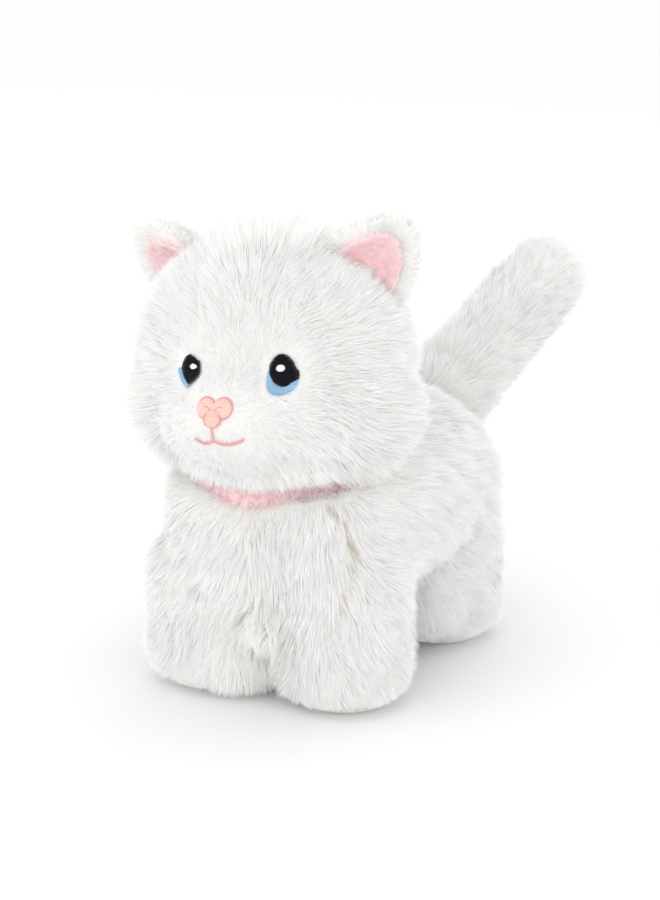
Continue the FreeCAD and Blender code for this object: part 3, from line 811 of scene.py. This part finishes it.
# The stuffed tail as a row of balls: how far each lies from the root, and its radius.
TAIL_BALLS = ((20, 19.4), (32, 19.4), (44, 19.2), (56, 19.0), (68, 18.8), (80, 18.6), (92, 18.0),
              (103, 16.5))
tail_parts = [ball(TAIL, (0, 0, height), (radius, radius, 16)) for height, radius in TAIL_BALLS]
tail_skin = skin("tail_skin", tail_parts, [BACKING], voxel=2.6, smoothing=10)
soft_piece(tail_skin, "tail", "plush", 0.75, "tail_cover_left", "tail_cover_right",
           "tail_stuffing")


def tail_groom(spots):
    """The pile of the tail: brushed towards its tip and spread there."""
    local = TAIL.into(spots)
    flow = np.zeros((len(local), 3))
    flow[:, 2] = 1.0
    tip = fade(local[:, 2], 88, 116)[:, None]
    flow[:, :2] += local[:, :2] / 20.0 * 0.5 * tip
    length = np.full(len(local), 12.0)
    lean_root = np.full(len(local), 0.72) - 0.25 * tip[:, 0]
    lean_tip = np.full(len(local), 1.05) - 0.55 * tip[:, 0]
    return local, Groom(TAIL.turn_out(flow), length, lean_root, lean_tip)


for label, piece, body, seed in (("pile_tail_root", root_skin, "tail_root", 3100),
                                 ("pile_tail", tail_skin, "tail", 3000)):
    spots, normals = sample(piece, TAIL_DENSE, seed)
    local, groom = tail_groom(spots)
    if body == "tail":
        groom.keep = local[:, 2] > 6
        regions = {"_left": local[:, 0] >= 0, "_right": local[:, 0] < 0}
    else:
        regions = {"": local[:, 2] > -19}
    grow(label, spots, normals, groom, regions, WHITE_PILE, BODY_STRAND, seed, body,
         weights=WHITE_WEIGHTS)


# ---------------------------------------------------------------- neck and collar

NECK_SIZE = (40.5, 40.5, 38)
COLLAR_RADIUS, COLLAR_HALF_HIGH, COLLAR_HALF_THICK = 46.2, 4.4, 3.4

neck_skin = skin("neck_skin", [ball(NECK, (0, 0, 0), NECK_SIZE)], [BACKING], voxel=3.0,
                 smoothing=3)
soft_piece(neck_skin, "neck", "plush", 0.8, "neck_cover", "neck_stuffing")

# White pile shows between the collar and the back of the head.

spots, normals = sample(neck_skin, NECK_DENSE, 31)
local = NECK.into(spots)
flow = NECK.turn_out(local * np.array([1.0, 1.0, 0.0]) + np.array([0.0, 0.0, 6.0]))
groom = Groom(flow, np.full(len(spots), 6.0), 0.75, 1.15)
grow("pile_", spots, normals, groom, {"neck": (local[:, 2] > 3) & (local[:, 2] < 30)},
     WHITE_PILE, SHORT_STRAND, 3500, "neck", weights=WHITE_WEIGHTS)

points, faces = ring(NECK, COLLAR_RADIUS, COLLAR_HALF_HIGH, COLLAR_HALF_THICK)
collar = mesh_from("collar_band", points, faces, [PINK_BACKING])
soft_piece(collar, "neck", "collar", 0.5, "collar")
spots, normals = sample(collar, COLLAR_DENSE, 41)
local = NECK.into(spots)
around = np.stack([-local[:, 1], local[:, 0], np.zeros(len(local))], axis=1)
flow = NECK.turn_out(normalised(around) * 0.3 + wave_vectors(spots, 0.004, 44) * 0.8)
groom = Groom(flow, np.full(len(spots), 3.8), 0.25, 0.65)
grow("pile_", spots, normals, groom, {"collar": np.linalg.norm(local[:, :2], axis=1) > 44.0},
     PINK_PILE, SHORT_STRAND, 4000, "neck", clump=9)


# ---------------------------------------------------------------- ears

# Sizes in millimetres along and across the fold, and turns in degrees.  The head is tilted, so
# each ear has its own peak and its own size of lining.
EAR_HIGH = 29.5
EAR_HALF_WIDE = 22.0
EAR_SPREAD = 41.5
EAR_SHIFT = -1.5
EAR_PEAK = {1: 0.5, -1: 4.5}
LINING_SCALE = {1: 0.75, -1: 0.62}
EAR_TURN = 2.0


def ear_outline(angle, scale, side):
    """The edge of an ear in its own plane: a rounded arch with a peak that may lean outwards."""
    along = math.cos(angle)
    up = max(0.0, math.sin(angle))
    inner = 0.30 if along < 0 else 0.10
    width = EAR_HALF_WIDE * scale * (1 - inner * up)
    x = width * math.copysign(abs(along) ** 1.05, along) + EAR_SHIFT + EAR_PEAK[side] * up * scale
    z = -6.0 + (EAR_HIGH + 6.0) * scale * up + 3.0 * (1 - scale)
    return x, z


def ear_plate(place, side, scale, front, back, cup, rings=14, around=48):
    """A closed padded plate in the ear's outline, its face hollowed by cup millimetres."""
    points, faces = [], []
    for layer, level in ((0, front), (1, back)):
        for ring_index in range(rings):
            share = (ring_index + 1) / rings
            edge = math.sqrt(max(0.0, 1 - share ** 6))
            for step in range(around):
                angle = math.pi * step / (around - 1)
                x, z = ear_outline(angle, scale, side)
                centre_x, centre_z = EAR_SHIFT, 4.0
                px, pz = centre_x + (x - centre_x) * share, centre_z + (z - centre_z) * share
                middle = (front + back) / 2
                bowl = cup * (1 - share * share)
                depth = middle + (level - middle) * edge + bowl
                points.append((px * side, depth, pz))

    def band(first, second, flip):
        for step in range(around):
            following = (step + 1) % around
            quad = (first + step, first + following, second + following, second + step)
            faces.append(quad[::-1] if flip else quad)

    per_layer = rings * around
    for layer in (0, 1):
        start = layer * per_layer
        for ring_index in range(rings - 1):
            first = start + ring_index * around
            band(first, first + around, (layer == 0) != (side > 0))
    for layer in (0, 1):
        start = layer * per_layer
        centre = len(points)
        points.append((EAR_SHIFT * side, (front if layer == 0 else back) + cup, 4.0))
        for step in range(around):
            following = (step + 1) % around
            corner = (centre, start + following, start + step)
            faces.append(corner if (layer == 0) == (side > 0) else corner[::-1])
    last = (rings - 1) * around
    band(last, per_layer + last, side < 0)
    return place.out(points), faces


def ear(name, side):
    """The back and the lining of an ear, each with its pile."""
    hinge = joint_named("ear_" + name + "_fold")
    spread = math.radians(EAR_SPREAD)
    up = HEAD.turn_out(np.array([math.sin(spread) * side, 0, math.cos(spread)]))
    turned = Matrix.Rotation(math.radians(EAR_TURN * side), 3, Vector(up)) @ Vector(hinge["axis"])
    place = Place(np.array(hinge["pos_m"]) / MM, turned, up)
    body = "ear_" + name
    points, faces = ear_plate(place, side, 1.0, -1.5, 4.5, 2.5)
    back = mesh_from("ear_back_skin_" + name, points, faces, [BACKING])
    soft_piece(back, body, "plush", 0.4, "ear_back_" + name)
    points, faces = ear_plate(place, side, LINING_SCALE[side], -3.4, -0.5, 3.2)
    lining = mesh_from("ear_lining_skin_" + name, points, faces, [PINK_BACKING])
    soft_piece(lining, body, "ear_lining", 0.3, "ear_lining_" + name)
    seed = 5000 if side > 0 else 5500

    spots, normals = sample(back, EAR_DENSE, seed + 1)
    local = place.into(spots)
    centre = np.array([EAR_SHIFT * side, 0.0, 2.0])
    outward = local - centre
    outward[:, 1] = 0
    rim = np.linalg.norm(outward / np.array([EAR_HALF_WIDE, 1, EAR_HIGH - 2]), axis=1)
    facing = place.turn_in(normals)[:, 1]
    front_side = facing < -0.2
    flow = normalised(outward)
    flow[:, 1] += np.where(front_side, -0.1, 0.25)
    length = np.where(front_side, 5.0, 6.5)
    edge = fade(rim, 0.70, 0.95)
    lean_root = 0.85 - 0.20 * edge
    lean_tip = 1.20 - 0.20 * edge
    flow = flow + place.turn_in(wave_vectors(spots, 0.006, seed + 7)) * 0.2
    keep = ~(front_side & (rim < 0.60)) & (local[:, 2] > -4)
    groom = Groom(place.turn_out(flow), length, lean_root, lean_tip, keep=keep)
    grow("pile_", spots, normals, groom, {"ear_" + name: np.ones(len(spots), dtype=bool)},
         WHITE_PILE, SHORT_STRAND, seed, body, weights=WHITE_WEIGHTS, softness=0.3)

    spots, normals = sample(lining, LINING_DENSE, seed + 2)
    local = place.into(spots)
    facing = place.turn_in(normals)[:, 1]
    flow = np.stack([local[:, 0] * 0.02, np.zeros(len(local)), np.ones(len(local))], axis=1)
    flow = place.turn_out(flow) + wave_vectors(spots, 0.006, seed + 3) * 0.5
    groom = Groom(flow, np.full(len(spots), 2.4), 0.75, 1.15, keep=facing < 0.2)
    grow("pile_", spots, normals, groom, {"ear_lining_" + name: np.ones(len(spots), dtype=bool)},
         PINK_PILE, LINING_STRAND, seed + 50, body, clump=12)


ear("left", 1)
ear("right", -1)


# ---------------------------------------------------------------- embroidery

class FrontMap:
    """How far ahead the skin of the face lies at each (x, z) of the head's frame."""

    def __init__(self, piece, low, high):
        points, _ = points_and_normals(piece.data)
        faces = [list(face.vertices) for face in piece.data.polygons]
        tree = BVHTree.FromPolygons([tuple(point) for point in HEAD.into(points)], faces)
        self.low = low
        shape = (high[0] - low[0] + 1, high[1] - low[1] + 1)
        depth = np.zeros(shape)
        for column in range(shape[0]):
            for row in range(shape[1]):
                start = Vector((low[0] + column, -150, low[1] + row))
                hit = tree.ray_cast(start, Vector((0, 1, 0)))[0]
                depth[column, row] = hit.y if hit else 0.0
        for _ in range(3):
            wide = np.pad(depth, 1, mode="edge")
            depth = (wide[:-2, 1:-1] + wide[2:, 1:-1] + wide[1:-1, :-2] + wide[1:-1, 2:]
                     + 2 * wide[1:-1, 1:-1]) / 6
        self.depth = depth
        self.slope_x, self.slope_z = np.gradient(depth)

    def read(self, grid, x, z):
        column = np.clip(x - self.low[0], 0, grid.shape[0] - 1.001)
        row = np.clip(z - self.low[1], 0, grid.shape[1] - 1.001)
        i, k = column.astype(int), row.astype(int)
        s, t = column - i, row - k
        return (grid[i, k] * (1 - s) * (1 - t) + grid[i + 1, k] * s * (1 - t)
                + grid[i, k + 1] * (1 - s) * t + grid[i + 1, k + 1] * s * t)

    def surface(self, x, z, lift):
        x, z = np.asarray(x, float), np.asarray(z, float)
        y = self.read(self.depth, x, z)
        slope = np.stack([self.read(self.slope_x, x, z), -np.ones(x.shape),
                          self.read(self.slope_z, x, z)], axis=-1)
        return lifted(x, y, z, slope, lift)


front_map = FrontMap(head_skin, (-44, -48), (44, 30))
face_surface = front_map.surface


def lifted(x, y, z, slope, lift):
    """Points moved off the face by lift millimetres, square to it."""
    outward = slope / np.linalg.norm(slope, axis=-1, keepdims=True)
    return np.stack([x, y, z], axis=-1) + outward * np.asarray(lift)[..., None]


def tube(path, radius, sections=6, taper=0.5):
    """A thread along a path in millimetres, thinner at both ends."""
    path = np.asarray(path, float)
    count = len(path)
    ahead = normalised(np.gradient(path, axis=0))
    side = normalised(np.cross(ahead, np.array([0.0, 1.0, 0.0])))
    up = np.cross(side, ahead)
    share = np.linspace(0, 1, count)
    thick = radius * (taper + (1 - taper) * np.sin(np.pi * np.clip(share, 0.02, 0.98)) ** 0.5)
    points, faces = [], []
    for index in range(count):
        for part in range(sections):
            angle = 2 * math.pi * part / sections
            points.append(path[index] + (side[index] * math.cos(angle)
                                         + up[index] * math.sin(angle)) * thick[index])
    for index in range(count - 1):
        for part in range(sections):
            following = (part + 1) % sections
            faces.append((index * sections + part, index * sections + following,
                          (index + 1) * sections + following, (index + 1) * sections + part))
    faces.append(tuple(range(sections))[::-1])
    faces.append(tuple((count - 1) * sections + part for part in range(sections)))
    return points, faces


def satin(inside, low, high, angle, lift, dome, seed, spacing=0.42):
    """Parallel threads that fill a flat shape, laid over a padded dome on the face.

    inside(x, z) says which points are in the shape; low and high are corners of its box.
    """
    draw = np.random.default_rng(seed)
    centre = (np.array(low) + np.array(high)) / 2
    reach = np.linalg.norm(np.array(high) - np.array(low)) / 2
    along = np.array([math.cos(angle), math.sin(angle)])
    across = np.array([-along[1], along[0]])
    parts = []
    for offset in np.arange(-reach, reach, spacing):
        line = np.linspace(-reach, reach, 240)
        spots = centre + line[:, None] * along + offset * across
        hit = inside(spots[:, 0], spots[:, 1])
        edges = np.flatnonzero(np.diff(np.concatenate([[0], hit.astype(int), [0]])))
        for start, stop in zip(edges[::2], edges[1::2]):
            ends = line[start] - draw.uniform(0, 0.25), line[stop - 1] + draw.uniform(0, 0.25)
            if ends[1] - ends[0] < 0.5:
                continue
            steps = np.linspace(*ends, 11)
            flat = centre + steps[:, None] * along + (offset + draw.normal(0, 0.03)) * across
            across_share = (offset / reach) ** 2
            share = np.linspace(-1, 1, 11)
            height = lift + dome * np.sqrt(np.maximum(0, 1 - share ** 4)) * (1 - 0.5 * across_share)
            height = height + draw.normal(0, 0.04)
            path = face_surface(flat[:, 0], flat[:, 1], height)
            parts.append(tube(path, spacing * 0.62))
    points, faces = joined(parts)
    return HEAD.out(points), faces


def stitched(name, built, material, slot, *nodes):
    """A piece of embroidery on the head."""
    points, faces = built
    piece = mesh_from(name, points, faces, [material])
    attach(piece, "head")
    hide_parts(*nodes)
    return piece


def blob(u, v, wide, high, bend_u=2, bend_v=2):
    """Whether a point is in a rounded shape: an ellipse, or more pointed with bends below 2."""
    return (np.abs(u) / wide) ** bend_u + (np.abs(v) / high) ** bend_v < 1


# The eyes are not mirror images: their sizes and places follow the embroidery on each side.
EYE_SCALE = {1: (0.93, 0.93), -1: (0.93, 0.76)}
EYE_CENTRE = {1: 24.5, -1: -23.2}


def eye(name, side):
    """Black almond with a lash corner, a blue edge below it and a white glint."""
    centre_x, centre_z = EYE_CENTRE[side], -EYE_DROP

    def scaled(x, z):
        return (x - centre_x) / EYE_SCALE[side][0], (z - centre_z) / EYE_SCALE[side][1]

    def black(x, z):
        u, v = scaled(x, z)
        if side > 0:
            almond = blob(u - 0.1, v - 2.0, 6.6, 8.2, 1.9, 1.75)
            lash = (u > 3.5) & (u < 7.9) & (v < 6.8 - 1.15 * (u - 3.5)) & (v > -4.2 + 0.5 * (u - 3.5))
        else:
            almond = blob(u - 0.6, v - 1.2, 6.2, 9.2, 1.8, 1.6)
            lash = (u > 1.0) & (u < 6.6) & (v < 9.6 - 0.5 * (u - 1.0)) & (v > -2.0 + 0.3 * (u - 1))
        return almond | lash

    def blue(x, z):
        u, v = scaled(x, z)
        if side > 0:
            edge = blob(u - 0.1, v + 0.8, 7.4, 9.0, 1.9, 1.9)
            return edge & ~black(x, z) & (v < 2.6 - 0.33 * (u + 7.7))
        edge = blob(u + 0.7, v + 1.0, 7.0, 9.0)
        return edge & ~black(x, z) & (v < 1.5) & (u < 0.5)

    def glint(x, z):
        u, v = scaled(x, z)
        u, v = u + 0.6 - 3.8 * (side < 0), v - 3.4
        return blob(u, v - 0.1 * u, 2.2, 1.6)

    low, high = (centre_x - 10, centre_z - 12), (centre_x + 10, centre_z + 12)
    seed = 61 if side > 0 else 71
    stitched("eye_black_" + name, satin(black, low, high, 0.08 * side, 1.0, 0.9, seed),
             BLACK_THREAD, "eye_black", "eye_pupil_" + name)
    stitched("eye_blue_" + name, satin(blue, low, high, 0.9, 0.9, 0.7, seed + 1),
             BLUE_THREAD, "eye_blue", "eye_iris_" + name)
    stitched("eye_glint_" + name, satin(glint, low, high, 0.1, 2.0, 0.4, seed + 2, spacing=0.36),
             WHITE_THREAD, "eye_white", "eye_glint_" + name)


eye("left", 1)
eye("right", -1)


def disc(centre_x, centre_z, wide, high):
    """The test of whether a point is in an ellipse."""
    return lambda x, z: blob(x - centre_x, z - centre_z, wide, high)


def outline(centre_x, centre_z, wide, high, start, stop, lift, radius):
    """A thread along part of an ellipse on the muzzle."""
    angles = np.linspace(start, stop, 24)
    path = face_surface(centre_x + wide * np.cos(angles), centre_z + high * np.sin(angles),
                          np.full(24, lift))
    return tube(path, radius, taper=0.7)


NOSE_X = -0.4
LOBE_SIDE, LOBE_DROP, LOBE_WIDE, LOBE_HIGH = 4.15, 13.6, 4.5, 4.2
TIP_DROP, TIP_WIDE, TIP_HIGH = 17.9, 4.1, 3.4


def nose():
    """Two lobes and a tip in satin stitch, with a line of thread round each."""
    for name, side in (("left", 1), ("right", -1)):
        lobe_x = NOSE_X + LOBE_SIDE * side
        stitched("nose_lobe_" + name + "_satin",
                 satin(disc(lobe_x, -LOBE_DROP, LOBE_WIDE, LOBE_HIGH),
                       (lobe_x - 6, -LOBE_DROP - 6), (lobe_x + 6, -LOBE_DROP + 6), 1.2 * side,
                       1.0, 0.9, 81 + side),
                 NOSE_THREAD, "nose", "nose_lobe_" + name)
    stitched("nose_tip_satin",
             satin(disc(NOSE_X, -TIP_DROP, TIP_WIDE, TIP_HIGH), (NOSE_X - 6, -TIP_DROP - 6),
                   (NOSE_X + 6, -TIP_DROP + 6), 0.0, 1.5, 1.0, 85),
             NOSE_THREAD, "nose", "nose_tip")
    lines = [outline(NOSE_X, -TIP_DROP, TIP_WIDE + 0.1, TIP_HIGH + 0.1, 0, 2 * math.pi, 1.9, 0.28)]
    for side in (1, -1):
        lobe_x = NOSE_X + LOBE_SIDE * side
        lines.append(outline(lobe_x, -LOBE_DROP, LOBE_WIDE + 0.1, LOBE_HIGH + 0.1, 0, 2 * math.pi,
                             1.3, 0.30))
        curl = math.pi * 0.5 - side * math.pi * 0.5
        lines.append(outline(lobe_x - 0.6 * side, -LOBE_DROP - 1.2, 2.1, 1.7, curl - side * 2.2 + math.pi,
                             curl + side * 0.6 + math.pi, 2.1, 0.26))
    points, faces = joined(lines)
    piece = mesh_from("nose_outline", HEAD.out(points), faces, [NOSE_LINE])
    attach(piece, "head")


nose()


def rope_stitch(path_points, radius, seed):
    """Short overlapping slanted stitches along a path on the muzzle."""
    draw = np.random.default_rng(seed)
    path = np.asarray(path_points, float)
    steps = np.concatenate([[0], np.cumsum(np.linalg.norm(np.diff(path, axis=0), axis=1))])
    parts = []
    start = 0.0
    while start < steps[-1]:
        stop = min(start + 2.6, steps[-1])
        marks = np.linspace(start, stop, 7)
        x = np.interp(marks, steps, path[:, 0])
        z = np.interp(marks, steps, path[:, 1])
        way = np.array([x[-1] - x[0], z[-1] - z[0]])
        way /= max(np.linalg.norm(way), 1e-6)
        slant = np.linspace(-0.35, 0.35, 7)
        share = np.linspace(-1, 1, 7)
        lift = 1.0 + 0.5 * np.sqrt(np.maximum(0, 1 - share ** 2)) + draw.normal(0, 0.03)
        parts.append(tube(face_surface(x - way[1] * slant, z + way[0] * slant, lift), radius))
        start += 1.25
    return parts


for name, node, reach in (("mouth_stem_stitch", "mouth_stem", 0.0),
                          ("mouth_left_stitch", "mouth_arc_left", SMILE_LEFT),
                          ("mouth_right_stitch", "mouth_arc_right", -SMILE_RIGHT)):
    share = np.linspace(0, 1, 30)
    if reach == 0:
        route = np.stack([np.full(30, STEM_X), -MOUTH_DROP + 5.6 * (1 - share)], axis=1)
    else:
        route_z = -MOUTH_DROP - SMILE_DEEP * np.sin(math.pi * share) ** 0.9 + 0.5 * share
        route = np.stack([STEM_X + reach * share, route_z], axis=1)
    stitched(name, joined([(HEAD.out(points), faces)
                           for points, faces in rope_stitch(route, 0.48, 90)]),
             MOUTH_THREAD, "mouth", node)


# ---------------------------------------------------------------- floor, light and camera

FLOOR_HALF = 6.0

floor = mesh_from("floor", [(-FLOOR_HALF, -FLOOR_HALF, 0), (FLOOR_HALF, -FLOOR_HALF, 0),
                            (FLOOR_HALF, FLOOR_HALF, 0), (-FLOOR_HALF, FLOOR_HALF, 0)],
                  [(0, 1, 2, 3)], [principled("floor_paper", (0.93, 0.93, 0.93), 0.9, specular=0.1)],
                  smooth=False)

TARGET = Vector(((MIDDLE_X + 1.0) * MM, LEGS_Y * MM, 0.108))
AZIMUTH, ELEVATION, DISTANCE = math.radians(26.5), math.radians(15.0), 1.2


def from_target(azimuth, elevation, distance):
    back = Vector((math.sin(azimuth) * math.cos(elevation),
                   -math.cos(azimuth) * math.cos(elevation), math.sin(elevation)))
    return TARGET + back * distance


camera = bpy.data.objects.new("camera", bpy.data.cameras.new("camera"))
bpy.context.collection.objects.link(camera)
camera.location = from_target(AZIMUTH, ELEVATION, DISTANCE)
camera.rotation_euler = (TARGET - camera.location).to_track_quat("-Z", "Y").to_euler()
camera.data.lens = 96.0
camera.data.clip_end = 50
bpy.context.scene.camera = camera


def soft_light(name, azimuth, elevation, distance, size, power):
    """A round white light turned towards the cat; the angles are in degrees."""
    light = bpy.data.objects.new(name, bpy.data.lights.new(name, "AREA"))
    light.data.shape = "DISK"
    light.data.size = size
    light.data.energy = power
    light.location = from_target(math.radians(azimuth), math.radians(elevation), distance)
    light.rotation_euler = (TARGET - light.location).to_track_quat("-Z", "Y").to_euler()
    bpy.context.collection.objects.link(light)


soft_light("key", -20, 38, 1.8, 2.0, 2.6)
soft_light("fill", 22, 5, 1.8, 2.2, 8.5)
soft_light("back", 175, 30, 1.8, 2.0, 3.5)

world = bpy.data.worlds.new("studio")
world.use_nodes = True
world.node_tree.nodes["Background"].inputs["Color"].default_value = (1, 1, 1, 1)
world.node_tree.nodes["Background"].inputs["Strength"].default_value = 1.06
bpy.context.scene.world = world
bpy.context.scene.view_settings.view_transform = "Standard"
bpy.context.scene.cycles.max_bounces = 16
bpy.context.scene.cycles.diffuse_bounces = 12
